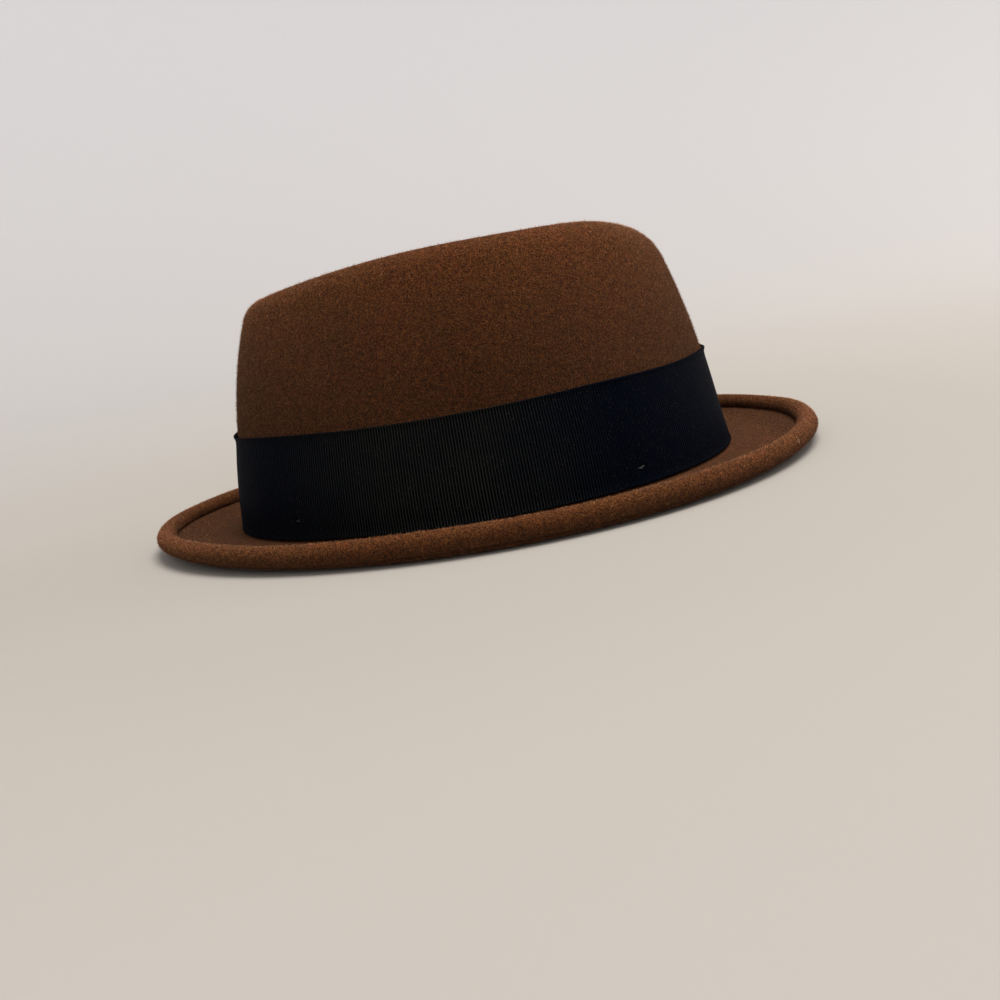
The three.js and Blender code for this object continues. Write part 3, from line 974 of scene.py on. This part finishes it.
def felt_finish(felt_colour, uneven):
    """Wool felt: matt, speckled and softly mottled, with a faint sheen of its finest hairs."""
    settings = {"Roughness": 0.92, "Specular IOR Level": 0.04, "Sheen Weight": 0.14, "Sheen Roughness": 0.5}
    settings["Sheen Tint"] = (0.62, 0.39, 0.26, 1)
    material, tree, shader = shade_tree("brown_felt", settings)
    place = place_of(tree)
    felt = use(tree, felt_colour, {"Place": place, "Colour": FELT_COLOUR, "Grain": FELT_GRAIN})
    # Painted shade: the felt is darkened where its points are marked dark
    dark = put(tree, "ShaderNodeAttribute", {}, attribute_name="dark")["Fac"]
    light = reckon(tree, "SUBTRACT", 1.0, reckon(tree, "MULTIPLY", dark, PAINTED_SHADE_STRENGTH))
    tree.links.new(scaled(tree, felt["Colour"], light), shader.inputs["Base Color"])
    lump = use(tree, uneven, {"Place": place, "Size": 2.4, "Low": 0.0, "High": 1.0})["Value"]
    height = reckon(tree, "ADD", reckon(tree, "MULTIPLY", lump, LUMP_SHARE), felt["Grain"])
    bump = {"Height": height, "Distance": FELT_BUMP * MM, "Strength": 1.0}
    tree.links.new(put(tree, "ShaderNodeBump", bump)[0], shader.inputs["Normal"])
    return material


def nap_finish(felt_colour):
    """Loose hairs of the felt, a little lighter than what they stand on."""
    settings = {"Roughness": 0.8, "Specular IOR Level": 0.12}
    material, tree, shader = shade_tree("felt_nap", settings)
    felt = use(tree, felt_colour, {"Place": place_of(tree), "Colour": HAIR_COLOUR, "Grain": HAIR_GRAIN})
    tree.links.new(felt["Colour"], shader.inputs["Base Color"])
    return material


def grosgrain_finish(uneven):
    """Black ribbon: cords crossed by a fine warp, painted highlights on its ribs, a cold light on it at a
    slant, a little lint.
    """
    settings = {"Roughness": 0.5, "Specular IOR Level": 0.012, "Sheen Weight": 0.004, "Sheen Roughness": 0.3}
    settings["Specular Tint"] = (0.5, 0.7, 1.0, 1)
    settings["Sheen Tint"] = (0.5, 0.68, 1.0, 1)
    material, tree, shader = shade_tree("black_grosgrain", settings)
    place = place_of(tree)
    stretched = times(tree, place, WARP_STRETCH)
    warp = use(tree, uneven, {"Place": stretched, "Size": 1.1, "Low": 0.0, "High": 1.0})["Value"]
    # Painted highlight: the ribs' crests are painted lighter, warm at the hat's sides and cold elsewhere
    along = reckon(tree, "SUBTRACT", put(tree, "ShaderNodeSeparateXYZ", {0: place})["Y"], HIGHLIGHT_MIDDLE)
    sides = ranged(tree, reckon(tree, "ABSOLUTE", along), HIGHLIGHT_WHOLLY, HIGHLIGHT_END, 1.0, 0.0)
    highlight_patches = use(tree, uneven, {"Place": place, "Size": 21.0, "Low": 0.6, "High": 1.0})["Value"]
    highlit = reckon(tree, "MULTIPLY", sides, highlight_patches)
    crest = put(tree, "ShaderNodeAttribute", {}, attribute_name="crest")["Fac"]
    ridge = blended(tree, highlit, RIB_RIDGE, RIB_PAINTED_HIGHLIGHT)
    colour = blended(tree, reckon(tree, "POWER", crest, RIB_SHARPNESS), RIB_VALLEY, ridge)
    lint = use(tree, uneven, {"Place": place, "Size": 0.7, "Low": LINT_LOW, "High": 1.0})["Value"]
    lint = put(tree, "ShaderNodeClamp", {0: lint})[0]
    colour = blended(tree, reckon(tree, "MULTIPLY", lint, LINT_STRENGTH), colour, LINT)
    tree.links.new(colour, shader.inputs["Base Color"])
    bump = {"Height": warp, "Distance": WARP_BUMP * MM, "Strength": 1.0}
    tree.links.new(put(tree, "ShaderNodeBump", bump)[0], shader.inputs["Normal"])
    return material


def thread_finish(name, uneven, low, high):
    """Sewing thread with an uneven twist of light and dark."""
    material, tree, shader = shade_tree(name, {"Roughness": 0.7, "Specular IOR Level": 0.3})
    twist = use(tree, uneven, {"Place": place_of(tree), "Size": 0.25, "Low": 0.0, "High": 1.0})["Value"]
    tree.links.new(blended(tree, twist, low, high), shader.inputs["Base Color"])
    return material


def bowl(material):
    """The stage's seamless floor and walls."""
    profile = [(0.0, 0.0), (BOWL_FLAT / 2, 0.0)]
    for turn in np.linspace(0, math.pi / 2, BOWL_CURVE_STEPS + 1):
        profile.append((BOWL_FLAT + BOWL_CURVE * math.sin(turn), BOWL_CURVE * (1 - math.cos(turn))))
    profile.append((BOWL_FLAT + BOWL_CURVE, BOWL_TOP))
    turns = np.arange(BOWL_SEGMENTS) * TURN / BOWL_SEGMENTS
    points = [(0.0, 0.0, 0.0)]
    for reach, height in profile[1:]:
        points += [(reach * math.cos(turn), reach * math.sin(turn), height) for turn in turns]
    faces = [(0, 1 + i, 1 + (i + 1) % BOWL_SEGMENTS) for i in range(BOWL_SEGMENTS)]
    rings, _ = ring_faces(len(profile) - 1, BOWL_SEGMENTS, closed=False)
    faces += (rings + 1).tolist()
    mesh = bpy.data.meshes.new("stage_bowl")
    mesh.from_pydata(points, [], faces)
    mesh.polygons.foreach_set("use_smooth", [True] * len(mesh.polygons))
    mesh.materials.append(material)
    stand = bpy.data.objects.new("stage_bowl", mesh)
    bpy.context.scene.collection.objects.link(stand)


def board_finish():
    """Pale matt board, painted paler further off where the lamps' light falls away."""
    material, tree, shader = shade_tree("pale_board", {"Roughness": 0.9, "Specular IOR Level": 0.1})
    place = place_of(tree)
    away = put(tree, "ShaderNodeVectorMath", {0: place}, operation="LENGTH")["Value"]
    # Painted light: the board grows paler further off, where the lamps' light falls away
    far = ranged(tree, away, BOARD_NEAR_END, BOARD_FAR_START, 0.0, 1.0)
    tree.links.new(blended(tree, far, BOARD_NEAR, BOARD_FAR), shader.inputs["Base Color"])
    return material


def lamp(name, place, size, power, colour):
    """A square soft lamp that shines on the hat."""
    light = bpy.data.lights.new(name, "AREA")
    light.size = size
    light.energy = power
    light.color = colour
    stand = bpy.data.objects.new(name, light)
    bpy.context.scene.collection.objects.link(stand)
    stand.location = place
    stand.rotation_euler = (LIT_PLACE - place).to_track_quat("-Z", "Y").to_euler()


def sky():
    """The pale room above the bowl."""
    world = bpy.data.worlds.new("room")
    bpy.context.scene.world = world
    world.use_nodes = True
    background = world.node_tree.nodes["Background"]
    background.inputs["Color"].default_value = SKY
    background.inputs["Strength"].default_value = SKY_STRENGTH


def camera():
    """The camera at the photograph's place."""
    lens = bpy.data.cameras.new("camera")
    lens.lens = CAMERA_LENS
    lens.sensor_width = CAMERA_SENSOR
    lens.clip_start = 0.01
    lens.clip_end = 50
    stand = bpy.data.objects.new("camera", lens)
    bpy.context.scene.collection.objects.link(stand)
    stand.location = CAMERA_PLACE
    facing = (CAMERA_AIM - CAMERA_PLACE).to_track_quat("-Z", "Y").to_matrix().to_4x4()
    stand.rotation_euler = (facing @ Matrix.Rotation(CAMERA_ROLL, 4, "Z")).to_euler()
    bpy.context.scene.camera = stand


uneven = uneven_group()
felt_colour = felt_colour_group(uneven, mark_group())
grosgrain = grosgrain_finish(uneven)
dark_thread = thread_finish("dark_thread", uneven, *DARK_THREAD)
pale_thread = thread_finish("pale_thread", uneven, *PALE_THREAD)

rings = felt_rings()
felt_hat(rings, felt_finish(felt_colour, uneven))
felt_nap(rings, nap_finish(felt_colour))
ribbon_band(grosgrain)
threads("pale_tack", tacks_of("pale"), pale_thread)
threads("dark_tacks", tacks_of("dark"), dark_thread)
threads("lap_stitches", lap_paths(), dark_thread)

bowl(board_finish())
lamp("overhead_lamp", LAMP_PLACE, LAMP_SIZE, LAMP_POWER, LAMP_COLOUR)
lamp("front_lamp", FILL_PLACE, FILL_SIZE, FILL_POWER, FILL_COLOUR)
sky()
camera()
bpy.context.scene.view_settings.view_transform = "Standard"
